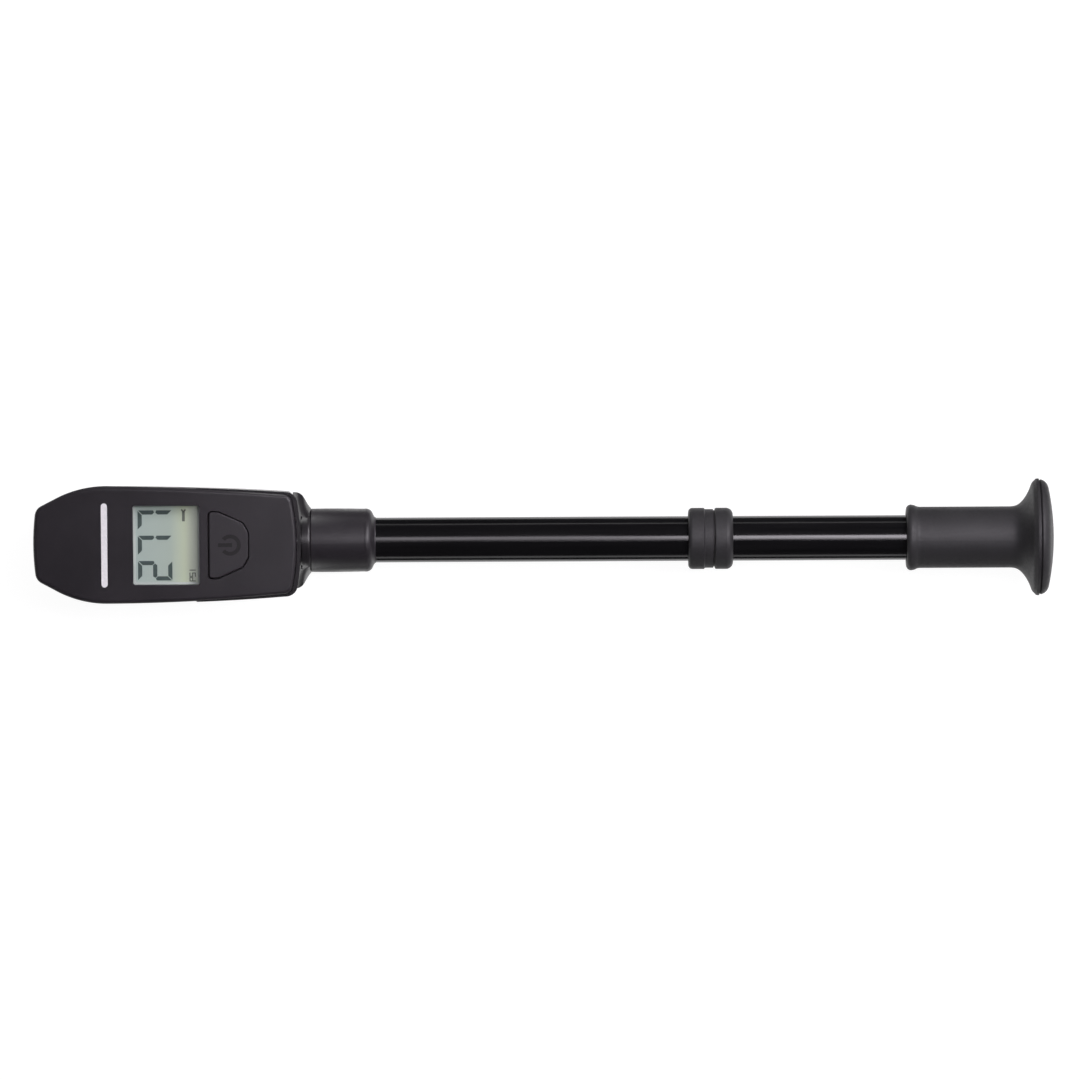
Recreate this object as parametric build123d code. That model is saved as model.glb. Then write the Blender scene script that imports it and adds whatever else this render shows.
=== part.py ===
"""Digital high-pressure shock pump: gauge head, neck, barrel with hose clip, piston rod and palm handle.

Every piece is drawn on the bench with x measured from the tip of the gauge head, y across the pump
and z up from the surface that it lies on, display up. write() shifts it so that the origin is the
middle of the footprint. All sizes are in millimetres.
"""

from build123d import *
import math
import os

os.makedirs("parts", exist_ok=True)

# ---- Driving dimensions ---------------------------------------------------------------------
LENGTH = 287.6  # whole pump, handle pushed in
KNOB_R = 16.5  # rim of the palm handle, which the pump lies on
AXIS_Z = KNOB_R  # height of the barrel's axis

# Head
FACE_Z = AXIS_Z + 11.1  # top of the front cover's crown
SPLIT_Z = AXIS_Z + 4.0  # parting line between the two halves of the casing
STEP_Z = 5.5  # underside of the thinner half of the head
WALL = 1.8
CROWN_X = 45.0
CROWN_R = 420.0  # the face is bowed along the head
DRAFT_DEG = 5.5  # the casing narrows towards its back
SPLIT_INSET = 0.42  # how far the casing's plan has closed in at the parting line
COVER_GAP = 0.17  # between the front cover and the lip that the rear housing has round its heel
LIP_DROP = 0.7  # the lip lies this far under the face
LIP_X = 46.0
# Plans of the two halves: tip corner, shoulder, side, heel corner, middle of the tip and of the heel
COVER_PLAN = ((0.75, 10.15), (13.3, 16.62), (44.0, 15.84), (72.6, 13.95), 0.0, 74.2)
HOUSING_PLAN = ((1.0, 9.95), (13.4, 16.35), (44.0, 15.98), (73.9, 14.5), 0.25, 75.3)
COVER_CORNERS = (3.4, 30.0, 2.4)  # radii at the tip, shoulder and heel
HOUSING_CORNERS = (6.0, 30.0, 3.2)
COLLAR_R = 9.2  # the housing's collar round the neck
FLARE = (  # x, half width, radius of the collar there
    (73.0, 13.6, COLLAR_R),
    (75.2, 13.15, COLLAR_R),
    (76.2, 12.0, COLLAR_R),
    (77.1, 10.4, COLLAR_R),
    (77.7, 9.55, 9.1),
    (78.1, 9.1, 8.8),
)
COLLAR_TURN = math.radians(50)  # how far the collar's arc reaches down each side
COLLAR_GROOVE = (75.32, 75.75, 8.6)  # x from, x to, radius

# Display, switch and board
DISPLAY_X = 37.6  # middle of the display window
DISPLAY_SIZE = (18.7, 22.5)
DISPLAY_CORNER = 0.6
GLASS_Z = (24.55, 25.65)
BOARD_Z = (17.2, 18.8)
SWITCH_X = 54.8
SWITCH_TOP_Z = 20.8
BUTTON_GAP = 0.35
BUTTON_TRAVEL = 0.55

# Coin cell and its cap
BATTERY_X = 33.0
BATTERY_R = 10.0
BATTERY_Z = (9.45, 12.65)
CAP_R = 11.6
CAP_PLUG_R = 10.6
CAP_LUGS = (90, 210, 330)
CAP_UNLOCK_DEG = 45.0

# Screws
SCREWS = [(15.0, 8.5), (15.0, -8.5), (63.0, 9.5), (63.0, -9.5)]
SCREW_HEAD_Z = 12.0
SCREW_R = 1.1
SCREW_TOP_Z = 24.0

# Valve block, bleed valve and hose port
BLOCK_R = 7.0
BLOCK_X = (62.4, 79.9)
LUG = (63.4, 73.0, 4.4, 1.85)  # x from, x to, half width, underside
SPIGOT_END_X = 88.0
BLEED_X = 67.0
PORT_Z = 4.4  # axis of the hose port and of the clip's saddle
PORT_X = (73.2, 78.1)
PORT_THREAD_R = 2.6
PORT_BOSS_R = 4.4

# Barrel, neck and clip
BARREL_R = 6.35
BARREL_BORE = 5.15
BARREL_X = (80.0, 256.0)
NECK_X = (78.15, 96.4)
NECK_R = 8.95
CLIP_X = (184.5, 197.1)
CLIP_R = 8.65
SADDLE_R = 3.0

# Plunger and handle
ROD_R = 4.0
ROD_BORE = 2.5
ROD_X = (92.0, 272.0)
PISTON_X = (89.5, 98.5)
HANDLE_X = 246.0  # mouth of the handle
GRIP_R = 8.65
SEAM_X = 283.4  # joint between the grip and the palm cap
DOME_X = 286.1  # edge of the palm's gentle dome
DOME_EDGE_R = 14.2
FIT = 0.05  # radial clearance of turned pieces that fit one another

AXIS = Axis((0, 0, AXIS_Z), (1, 0, 0))
PROFILE = Plane(origin=(0, 0, AXIS_Z), x_dir=(1, 0, 0), z_dir=(0, -1, 0))  # local (x, radius)
SIDE = Plane(origin=(0, 0, 0), x_dir=(1, 0, 0), z_dir=(0, -1, 0))  # local (x, z)


# ---- Helpers --------------------------------------------------------------------------------
def write(name, *shapes):
    """Writes one node, shifted to the part's own frame."""
    solids = [solid for shape in shapes for solid in shape.solids()]
    export_step(Pos(-LENGTH / 2, 0, 0) * Compound(children=solids), f"parts/{name}.step")


def rod_x(radius, x0, x1, y=0.0, z=AXIS_Z):
    return Pos((x0 + x1) / 2, y, z) * Rot(0, 90, 0) * Cylinder(radius, x1 - x0)


def rod_z(radius, x, y, z0, z1):
    return Pos(x, y, (z0 + z1) / 2) * Cylinder(radius, z1 - z0)


def block(x0, x1, y0, y1, z0, z1):
    return Pos((x0 + x1) / 2, (y0 + y1) / 2, (z0 + z1) / 2) * Box(x1 - x0, y1 - y0, z1 - z0)


def slab(x, half_x, half_y, z0, z1):
    """A block centred on y = 0."""
    return block(x - half_x, x + half_x, -half_y, half_y, z0, z1)


def o_ring_x(radius, section, x):
    return Pos(x, 0, AXIS_Z) * Rot(0, 90, 0) * Torus(radius, section)


def turned(edges):
    """A body of revolution about the barrel's axis, from a closed profile of (x, radius) edges."""
    return revolve(PROFILE * make_face(edges), axis=AXIS)


def turned_polygon(*points):
    return turned(Polyline(*points, close=True))


def ring_x(inner, outer, x0, x1):
    return turned_polygon((x0, inner), (x0, outer), (x1, outer), (x1, inner))


def coil(radius, wire, length, turns):
    """A compression spring that stands on z = 0."""
    rise = length - 2 * wire
    path = Helix(pitch=rise / turns, height=rise, radius=radius)
    section = Plane(origin=path @ 0, z_dir=path % 0) * Circle(wire)
    return Pos(0, 0, wire) * sweep(section, path=path, is_frenet=True)


def raised(sketch, z0, z1):
    return Pos(0, 0, z0) * extrude(sketch, z1 - z0)


def drafted_down(sketch, z0):
    """The sketch lowered from z0 to the resting surface, closing in by the casing's draft."""
    return Pos(0, 0, z0) * Rot(180, 0, 0) * extrude(sketch, z0, taper=DRAFT_DEG)


def grown(plan, amount):
    """The plan moved outwards by amount, its edges redrawn as plain lines and arcs."""
    if amount == 0:
        return plan
    edges = []
    for edge in offset(plan, amount).edges():
        straight = edge.geom_type == GeomType.LINE
        edges.append(Line(edge @ 0, edge @ 1) if straight else ThreePointArc(edge @ 0, edge @ 0.5, edge @ 1))
    return make_face(edges)


def round_corner(plan, point, radius):
    vertex = plan.vertices().sort_by_distance((point[0], point[1], 0))[0]
    return fillet(vertex, radius)


# ---- Shape of the head ----------------------------------------------------------------------
def outline(plan, corner_radii, grow):
    """Plan of a casing half: bowed tip, slanted shoulders, sides that close in slightly, bowed heel."""
    tip, shoulder, side, heel, tip_x, heel_x = plan

    def low(point):
        return (point[0], -point[1])

    face = make_face(
        [
            ThreePointArc(low(tip), (tip_x, 0), tip),
            Line(tip, shoulder),
            ThreePointArc(shoulder, side, heel),
            ThreePointArc(heel, (heel_x, 0), low(heel)),
            ThreePointArc(low(heel), low(side), low(shoulder)),
            Line(low(shoulder), low(tip)),
        ]
    )
    for corner, radius in zip((tip, shoulder, heel), corner_radii):
        face = round_corner(face, corner, radius)
        face = round_corner(face, low(corner), radius)
    return grown(face, grow)


def cover_outline(grow=0.0):
    return outline(COVER_PLAN, COVER_CORNERS, grow)


def rear_plan(grow=0.0):
    """The rear housing at the parting line."""
    return outline(HOUSING_PLAN, HOUSING_CORNERS, grow - SPLIT_INSET)


def under_face(depth=0.0):
    """Everything under the head's bowed face, or under a surface that lies depth below it."""
    half = 60.0
    top = FACE_Z - depth
    low = top - CROWN_R + (CROWN_R**2 - half**2) ** 0.5
    x0, x1 = CROWN_X - half, CROWN_X + half
    plan = make_face(
        [
            Line((x0, 0), (x1, 0)),
            Line((x1, 0), (x1, low)),
            ThreePointArc((x1, low), (CROWN_X, top), (x0, low)),
            Line((x0, low), (x0, 0)),
        ]
    )
    return extrude(SIDE * plan, 30, both=True)


def button_outline(grow=0.0):
    """The power button: straight beside the display, closing in towards the neck."""
    corners = [(49.3, 9.75), (52.4, 9.6), (59.3, 6.5), (61.0, 3.6)]
    points = corners + [(x, -y) for x, y in reversed(corners)]
    plan = make_face(Polyline(*points, close=True))
    for (x, y), radius in zip(corners, (1.2, 2.4, 2.2, 1.4)):
        plan = round_corner(plan, (x, y), radius)
        plan = round_corner(plan, (x, -y), radius)
    return grown(plan, grow)


def under_back(lift=0.0):
    """What lies under the head's stepped back, raised by lift."""
    heel = (58, lift)
    step = (49, STEP_Z + lift)
    toe = (7, STEP_Z + lift)
    nose = (0, STEP_Z + 5 + lift)
    plan = make_face(
        Polyline((-5, -5), (-5, nose[1]), nose, toe, step, heel, (90, lift), (90, -5), close=True)
    )
    for corner, radius in ((toe, 12.0), (step, 9.0), (heel, 9.0)):
        plan = round_corner(plan, corner, radius)
    return extrude(SIDE * plan, 30, both=True)


# ---- Casing ---------------------------------------------------------------------------------
def gasket_ring(z0, z1, slack=0.0):
    middle = -SPLIT_INSET - 0.9
    ring = raised(cover_outline(middle + 0.25 + slack), z0, z1)
    ring -= raised(cover_outline(middle - 0.25 - slack), z0, z1)
    return ring - rod_x(BLOCK_R + 0.3, 60, 80)


def front_cover():
    flaring = Pos(0, 0, SPLIT_Z) * extrude(cover_outline(-SPLIT_INSET), 8, taper=-DRAFT_DEG)
    blank = flaring & under_face()
    blank = fillet(blank.faces().sort_by(Axis.Z)[-1].edges(), 1.1)
    inside = cover_outline(-SPLIT_INSET - WALL) - [Pos(x, y) * Circle(2.5) for x, y in SCREWS]
    cover = blank - (raised(inside, SPLIT_Z - 1, SPLIT_Z + 12) & under_face(WALL + 0.2))
    for x, y in SCREWS:
        cover -= rod_z(SCREW_R + FIT, x, y, SPLIT_Z - 1, SCREW_TOP_Z + 0.2)
    opening = Pos(DISPLAY_X, 0) * RectangleRounded(*DISPLAY_SIZE, DISPLAY_CORNER)
    cover -= raised(opening, SPLIT_Z, FACE_Z + 1)
    cover -= slab(DISPLAY_X, 10.6, 12.5, SPLIT_Z, GLASS_Z[1] + 0.05)
    cover -= raised(button_outline(), SPLIT_Z, FACE_Z + 1)
    cover -= rod_x(BLOCK_R + 0.2, 70, 80)
    return cover - gasket_ring(SPLIT_Z - 0.1, SPLIT_Z + 0.4, slack=0.05)


def flare_section(x, half_width, collar_r):
    """Across the pump: the collar's arc above, the flare's half circle below, joined by flanks."""
    plane = Plane(origin=(x, 0, AXIS_Z), x_dir=(0, 1, 0), z_dir=(1, 0, 0))
    left, right = [
        (side * collar_r * math.sin(COLLAR_TURN), collar_r * math.cos(COLLAR_TURN)) for side in (-1, 1)
    ]
    return plane * make_face(
        [
            ThreePointArc(left, (0, collar_r), right),
            Line(right, (half_width, 0)),
            ThreePointArc((half_width, 0), (0, -half_width), (-half_width, 0)),
            Line((-half_width, 0), left),
        ]
    )


def flare():
    """From the head down to the neck, with a groove between the housing's lip and the collar."""
    body = loft([flare_section(*section) for section in FLARE])
    x0, x1, radius = COLLAR_GROOVE
    groove = rod_x(12, x0, x1) - rod_x(radius, x0 - 1, x1 + 1)
    return body - (groove & block(x0, x1, -12, 12, AXIS_Z + 5.5, AXIS_Z + 12))


def lip():
    """The edge of the rear housing that stands up round the cover's heel."""
    wall = Pos(0, 0, SPLIT_Z) * extrude(rear_plan(), 8, taper=-DRAFT_DEG)
    return wall & under_face(LIP_DROP) & block(LIP_X, 80, -20, 20, SPLIT_Z, FACE_Z)


def sector(r0, r1, z0, z1, middle_deg, width_deg):
    """Part of a ring about the battery's axis."""
    section = Plane.XZ * Pos((r0 + r1) / 2, (z0 + z1) / 2) * Rectangle(r1 - r0, z1 - z0)
    ring = revolve(section, axis=Axis.Z, revolution_arc=width_deg)
    return Pos(BATTERY_X, 0, 0) * Rot(0, 0, middle_deg - width_deg / 2) * ring


def cap_opening():
    """The hole for the coin cell, with a bayonet groove and the slots that lead into it."""
    hole = rod_z(CAP_R + 0.1, BATTERY_X, 0, STEP_Z - 1, 7.0)
    hole += rod_z(CAP_PLUG_R + 0.1, BATTERY_X, 0, 6.5, 9.4)
    hole += rod_z(BATTERY_R + 0.25, BATTERY_X, 0, 9, 14)
    hole += rod_z(CAP_PLUG_R + 0.75, BATTERY_X, 0, 7.9, 9.2)
    for lug_deg in CAP_LUGS:
        hole += sector(9.9, CAP_PLUG_R + 0.7, 6.6, 8.5, lug_deg - CAP_UNLOCK_DEG, 26)
    return hole


def rear_housing():
    shell = drafted_down(rear_plan(), SPLIT_Z) - under_back()
    around = [e for e in shell.edges() if e.center().Z < SPLIT_Z - 1 and abs(e.center().Y) > 0.05]
    shell = fillet([e for e in around if abs(e.tangent_at(0.5).Z) < 0.9], 2.0)
    shell += lip()
    shell += flare()
    shell -= raised(cover_outline(COVER_GAP), SPLIT_Z, FACE_Z + 5)
    shell += rod_x(PORT_BOSS_R, 68, PORT_X[1], z=PORT_Z)

    cavity = drafted_down(rear_plan(-WALL), SPLIT_Z + 0.01) - under_back(WALL)
    cavity &= block(-1, 61.8, -20, 20, 0, SPLIT_Z + 1)
    cavity -= rod_z(12.7, BATTERY_X, 0, 0, 13.2)
    for x, y in SCREWS:
        cavity -= rod_z(2.9, x, y, 0, SPLIT_Z + 1)
    for x in (20.2, 54.3):
        for y in (11.4, -11.4):
            cavity -= rod_z(1.6, x, y, 0, BOARD_Z[0] - 0.02)
    shell -= cavity

    for x, y in SCREWS:
        shell -= rod_z(SCREW_R + FIT, x, y, 0, SPLIT_Z + 1)
        shell -= rod_z(2.2, x, y, -1, SCREW_HEAD_Z + 1.6)
    shell -= cap_opening()
    shell -= block(BATTERY_X + 9.5, BATTERY_X + 11.2, -2, 2, 9.4, 14)

    shell -= rod_x(BLOCK_R + FIT, 61, 80)
    shell -= block(61.8, 75.2, -BLOCK_R - FIT, BLOCK_R + FIT, AXIS_Z, SPLIT_Z + 0.01)
    lug_x0, lug_x1, lug_y, lug_z = LUG
    shell -= block(lug_x0 - 0.1, lug_x1 + 0.1, -lug_y - 0.1, lug_y + 0.1, lug_z - FIT, AXIS_Z)
    shell -= rod_z(3.3, BLEED_X, 0, -1, 3)
    shell -= rod_x(3.6 + FIT, PORT_X[0] - 0.2, 80, z=PORT_Z)
    return shell


def housing_screws():
    screw = rod_z(SCREW_R, 0, 0, SCREW_HEAD_Z + 1.6, SCREW_TOP_Z)
    screw += rod_z(2.0, 0, 0, SCREW_HEAD_Z, SCREW_HEAD_Z + 1.6)
    for turn in (0, 90):
        screw -= Pos(0, 0, SCREW_HEAD_Z) * Rot(0, 0, turn) * Box(2.4, 0.6, 1.6)
    return [Pos(x, y, 0) * screw for x, y in SCREWS]


# ---- Display, board and power button --------------------------------------------------------
def display_window():
    return slab(DISPLAY_X, 10.5, 12.4, *GLASS_Z)


def lcd_frame():
    frame = slab(DISPLAY_X, 10.3, 12.2, BOARD_Z[1], 24.4)
    frame -= slab(DISPLAY_X, 8.7, 10.8, BOARD_Z[1] - 1, 25)
    frame -= slab(DISPLAY_X, 9.7, 11.6, 22.0, 24.0)
    return frame - slab(DISPLAY_X, 11, 11.3, BOARD_Z[1] - 1, 21.6)


def lcd_panel():
    rear_glass = slab(DISPLAY_X, 9.6, 11.5, 22.05, 22.95)
    front_glass = slab(DISPLAY_X, 8.9, 11.5, 22.95, 23.9)
    return rear_glass + front_glass


def zebra_strips():
    return [block(x, x + 1.6, -9.5, 9.5, BOARD_Z[1], 22.05) for x in (29.2, 44.4)]


def circuit_board():
    board = slab(DISPLAY_X, 19.3, 12.2, *BOARD_Z)
    return fillet(board.edges().filter_by(Axis.Z), 2.0)


def board_components():
    z = BOARD_Z[0]
    chip = block(46.5, 52.5, -4.5, 1.5, z - 1.2, z)
    crystal = block(47.0, 48.5, 4.5, 9.0, z - 1.5, z)
    chips = [block(x, x + 1.6, -8.4, -7.6, z - 0.6, z) for x in (47.0, 49.4, 51.8)]
    coil_body = rod_z(2.2, 21.5, 0, z - 2.4, z)
    return [chip, crystal, coil_body] + chips


def button_switch():
    body = slab(SWITCH_X, 3.0, 3.0, BOARD_Z[1], SWITCH_TOP_Z - 0.4)
    return body + rod_z(1.5, SWITCH_X, 0, BOARD_Z[1], SWITCH_TOP_Z)


def power_button():
    """A key whose flange is kept under the cover, with a stem down to the switch."""
    cap = raised(button_outline(-BUTTON_GAP), 24.0, FACE_Z + 1) & under_face(0.15)
    cap = fillet(cap.faces().sort_by(Axis.Z)[-1].edges(), 0.3)
    flange = raised(button_outline(0.5), 23.6, FACE_Z) & under_face(WALL + 0.55)
    stem = rod_z(1.6, SWITCH_X, 0, SWITCH_TOP_Z + BUTTON_TRAVEL + 0.05, 24)
    return cap + flange + stem


def pressure_sensor():
    can = rod_x(4.0, 58.4, 62.35) + rod_x(2.2, 62.3, 64.4)
    pins = [rod_x(0.22, 55.6, 58.6, y, BOARD_Z[0] - 0.25) for y in (-1.5, 0, 1.5)]
    return can + pins


# ---- Coin cell ------------------------------------------------------------------------------
def battery():
    low, high = BATTERY_Z
    can = rod_z(BATTERY_R, BATTERY_X, 0, low, high - 0.25)
    can += rod_z(8.8, BATTERY_X, 0, low, high)
    return chamfer(can.edges().sort_by(Axis.Z)[0], 0.3)


def battery_contacts():
    top = BATTERY_Z[1] + 0.02
    leaf_line = [(24.0, BOARD_Z[0]), (24.0, 16.0), (33.0, top), (36.0, top + 1.0)]
    back_line = [(x - 0.1 if i < 2 else x, z + 0.3) for i, (x, z) in enumerate(leaf_line)]
    back_line[0] = (24.4, BOARD_Z[0])
    back_line[1] = (24.4, 16.15)
    leaf = extrude(SIDE * make_face(Polyline(*leaf_line, *reversed(back_line), close=True)), 1.5, both=True)
    side = block(BATTERY_X + 10.05, BATTERY_X + 10.35, -1.5, 1.5, 9.6, BOARD_Z[0])
    return [leaf, side]


def battery_cap():
    cap = rod_z(CAP_R, BATTERY_X, 0, STEP_Z + 0.1, 6.9)
    cap = chamfer(cap.edges().sort_by(Axis.Z)[0], 0.3)
    cap += rod_z(CAP_PLUG_R, BATTERY_X, 0, 6.9, 9.25)
    cap -= sector(9.7, 11, 7.1, 7.85, 0, 360)
    for lug_deg in CAP_LUGS:
        cap += sector(10.4, 11.2, 8.0, 9.1, lug_deg, 22)
    slot = slab(BATTERY_X, 6.5, 0.95, STEP_Z, STEP_Z + 0.9)
    slot += rod_z(0.95, BATTERY_X - 6.5, 0, STEP_Z, STEP_Z + 0.9)
    slot += rod_z(0.95, BATTERY_X + 6.5, 0, STEP_Z, STEP_Z + 0.9)
    return cap - slot


def battery_cap_seal():
    return Pos(BATTERY_X, 0, 7.475) * Torus(10.15, 0.36)


# ---- Valve block ----------------------------------------------------------------------------
def valve_block():
    lug_x0, lug_x1, lug_y, lug_z = LUG
    body = rod_x(BLOCK_R, *BLOCK_X) + rod_x(BARREL_BORE - FIT, BLOCK_X[1], SPIGOT_END_X)
    body += block(lug_x0, lug_x1, -lug_y, lug_y, lug_z, AXIS_Z)
    body -= rod_x(3.1, 62, 64.6)
    body -= rod_x(1.0, 64, 80)
    body -= rod_x(2.4, 77.5, 86)
    body -= rod_x(3.0 + FIT, 85.8, 90)
    body -= ring_x(3.5, 6, 82.7, 84.4)
    body -= rod_z(3.4, BLEED_X, 0, 1, 4.0)
    body -= rod_z(1.3, BLEED_X, 0, 3, 9)
    body -= rod_z(2.3, BLEED_X, 0, 8.9, 12.6)
    body -= rod_z(0.8, BLEED_X, 0, 12, AXIS_Z)
    body -= rod_z(0.9, 71.2, 0, PORT_Z, AXIS_Z)
    return body - rod_x(0.9, 71.2, 74, z=PORT_Z)


def check_seat():
    plug = rod_x(3.0, 85.85, SPIGOT_END_X) - rod_x(1.0, 85, 89)
    return plug - block(SPIGOT_END_X - 0.8, SPIGOT_END_X + 1, -3.5, 3.5, AXIS_Z - 0.4, AXIS_Z + 0.4)


def check_poppet():
    return turned_polygon(
        (82.4, 0), (82.4, 1.3), (83.9, 1.3), (83.9, 2.2), (85.1, 2.2), (85.8, 1.4), (85.8, 0)
    )


def check_spring():
    """A light spring on the poppet's stem, with room to move back as the poppet lifts."""
    return Pos(78.7, 0, AXIS_Z) * Rot(0, 90, 0) * coil(1.75, 0.2, 5.15, 4)


def bleed_button():
    button = rod_z(3.1, BLEED_X, 0, 0.7, 2.5)
    button = chamfer(button.edges().sort_by(Axis.Z)[0], 0.4)
    button += rod_z(1.22, BLEED_X, 0, 2.4, 9.5)
    poppet = rod_z(1.95, BLEED_X, 0, 9.45, 10.25)
    return button + poppet


def bleed_seal():
    return rod_z(1.9, BLEED_X, 0, 8.95, 9.43) - rod_z(1.24, BLEED_X, 0, 8, 10)


def bleed_spring():
    return Pos(BLEED_X, 0, 10.27) * coil(1.6, 0.16, 2.3, 3)


def hose_port_insert():
    insert = rod_x(3.6, *PORT_X, z=PORT_Z)
    insert -= rod_x(PORT_THREAD_R, PORT_X[0] + 0.6, 80, z=PORT_Z)
    return insert - rod_x(1.0, 72, 80, z=PORT_Z)


# ---- Neck, barrel and clip ------------------------------------------------------------------
def neck_sleeve():
    start, end = NECK_X
    bore = BARREL_R + FIT
    return turned(
        [
            Line((start, BLOCK_R + FIT), (start, NECK_R - 0.15)),
            Line((start, NECK_R - 0.15), (start + 0.15, NECK_R)),
            ThreePointArc((start + 0.15, NECK_R), (86.5, NECK_R + 0.03), (93.2, NECK_R - 0.07)),
            ThreePointArc((93.2, NECK_R - 0.07), (94.55, 8.66), (95.25, 8.05)),
            Line((95.25, 8.05), (95.8, 6.95)),
            ThreePointArc((95.8, 6.95), (96.02, 6.6), (end, bore)),
            Line((end, bore), (BARREL_X[0], bore)),
            Line((BARREL_X[0], bore), (BARREL_X[0], BLOCK_R + FIT)),
            Line((BARREL_X[0], BLOCK_R + FIT), (start, BLOCK_R + FIT)),
        ]
    )


def barrel_tube():
    return ring_x(BARREL_BORE, BARREL_R, *BARREL_X)


def hose_clip():
    """A rubber band round the barrel: two ribs with a groove between, and a saddle for the hose."""
    start, end = CLIP_X
    groove = (189.2, 191.9)
    groove_r = CLIP_R - 0.35
    bore = BARREL_R + FIT
    band = turned(
        [
            Line((start, bore), (start, CLIP_R - 1.2)),
            ThreePointArc((start, CLIP_R - 1.2), (start + 0.35, CLIP_R - 0.35), (start + 1.2, CLIP_R)),
            Line((start + 1.2, CLIP_R), (groove[0] - 0.3, CLIP_R)),
            Line((groove[0] - 0.3, CLIP_R), (groove[0], groove_r)),
            Line((groove[0], groove_r), (groove[1] - 0.4, groove_r)),
            Line((groove[1] - 0.4, groove_r), (groove[1] - 0.3, groove_r - 0.35)),
            Line((groove[1] - 0.3, groove_r - 0.35), (groove[1], groove_r - 0.35)),
            Line((groove[1], groove_r - 0.35), (groove[1] + 0.1, CLIP_R - 0.2)),
            Line((groove[1] + 0.1, CLIP_R - 0.2), (groove[1] + 0.4, CLIP_R)),
            Line((groove[1] + 0.4, CLIP_R), (end - 1.8, CLIP_R)),
            ThreePointArc((end - 1.8, CLIP_R), (end - 0.55, CLIP_R - 0.6), (end, CLIP_R - 1.9)),
            Line((end, CLIP_R - 1.9), (end, bore)),
            Line((end, bore), (start, bore)),
        ]
    )
    saddle = rod_x(SADDLE_R + 1.2, start + 0.5, end - 0.8, z=PORT_Z)
    saddle -= rod_x(SADDLE_R, start - 1, end + 1, z=PORT_Z)
    mouth = block(start - 1, end + 1, -1.9, 1.9, -1, PORT_Z - 1.5)
    web = block(start + 0.5, end - 0.8, -3.2, 3.2, PORT_Z + SADDLE_R + 0.1, 9.0)
    clip = band + (saddle - mouth) + (web - rod_x(bore + 0.5, start - 1, end + 1))
    return clip - rod_x(bore, start - 1, end + 1)


def barrel_seal():
    return o_ring_x(4.3, 0.78, 83.55)


def rod_guide():
    guide = rod_x(BARREL_BORE - FIT, 247.0, BARREL_X[1]) + rod_x(BARREL_R, BARREL_X[1], 258.0)
    guide -= rod_x(ROD_R + FIT, 240, 260)
    return guide - rod_x(4.9, 256.6, 260)


def rod_wiper():
    return ring_x(ROD_R + FIT, 4.85, 256.65, 258.0)


# ---- Plunger and handle ---------------------------------------------------------------------
def piston_rod():
    return ring_x(ROD_BORE, ROD_R, *ROD_X)


def piston_head():
    head = rod_x(5.0, *PISTON_X)
    head -= rod_x(ROD_R + FIT, ROD_X[0], 100)
    head -= ring_x(3.8, 6, 90.2, 91.6)
    return head - ring_x(4.5, 6, 94.0, 97.0)


def piston_seal():
    return o_ring_x(4.47, 0.63, 90.9)


def piston_guide_ring():
    return ring_x(4.52, BARREL_BORE - FIT, 94.1, 96.9)


def handle_core():
    return turned_polygon(
        (247.4, 6.7),
        (247.4, 7.6),
        (279.0, 7.6),
        (281.4, 12.5),
        (SEAM_X, 13.0),
        (SEAM_X, 4.4),
        (276.0, 4.4),
        (276.0, 2.6),
        (ROD_X[1], 2.6),
        (ROD_X[1], ROD_R + FIT),
        (260.2, ROD_R + FIT),
        (260.2, 6.7),
    )


def handle_grip():
    flare = Spline(
        [
            (275.0, GRIP_R),
            (277.6, 9.2),
            (279.3, 10.85),
            (280.4, 12.6),
            (281.1, 14.2),
            (281.7, 15.5),
            (282.4, 16.2),
            (SEAM_X, KNOB_R),
        ],
        tangents=[(1, 0), (1, 0)],
    )
    return turned(
        [
            Line((HANDLE_X, 6.75), (HANDLE_X, 8.1)),
            ThreePointArc((HANDLE_X, 8.1), (246.4, 8.9), (247.3, 9.3)),
            ThreePointArc((247.3, 9.3), (248.3, 9.1), (249.0, 8.8)),
            ThreePointArc((249.0, 8.8), (249.5, 8.68), (250.2, GRIP_R)),
            Line((250.2, GRIP_R), (275.0, GRIP_R)),
            flare,
            Line((SEAM_X, KNOB_R), (SEAM_X, 13.0)),
            Line((SEAM_X, 13.0), (281.4, 12.5)),
            Line((281.4, 12.5), (279.0, 7.6)),
            Line((279.0, 7.6), (247.4, 7.6)),
            Line((247.4, 7.6), (247.4, 6.75)),
            Line((247.4, 6.75), (HANDLE_X, 6.75)),
        ]
    )


def palm_cap():
    dome_r = (DOME_EDGE_R**2 + (LENGTH - DOME_X) ** 2) / 2 / (LENGTH - DOME_X)
    dome_drop = dome_r - (dome_r**2 - (DOME_EDGE_R / 2) ** 2) ** 0.5
    return turned(
        [
            Line((280.2, 0), (280.2, 4.3)),
            Line((280.2, 4.3), (SEAM_X, 4.3)),
            Line((SEAM_X, 4.3), (SEAM_X, KNOB_R - 0.8)),
            Line((SEAM_X, KNOB_R - 0.8), (SEAM_X + 0.55, KNOB_R - 0.25)),
            ThreePointArc((SEAM_X + 0.55, KNOB_R - 0.25), (285.2, 15.62), (DOME_X, DOME_EDGE_R)),
            ThreePointArc((DOME_X, DOME_EDGE_R), (LENGTH - dome_drop, DOME_EDGE_R / 2), (LENGTH, 0)),
            Line((LENGTH, 0), (280.2, 0)),
        ]
    )


def handle_bumper():
    return ring_x(4.3, 6.5, 258.15, 260.2)


def handle_screw():
    screw = rod_x(ROD_BORE - FIT, 262, 276.1) + rod_x(4.0, 276.0, 279.6)
    socket = Plane(origin=(279.6, 0, AXIS_Z), x_dir=(0, 1, 0), z_dir=(-1, 0, 0))
    return screw - extrude(socket * RegularPolygon(2.0, 6, major_radius=False), 2.2)


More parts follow.
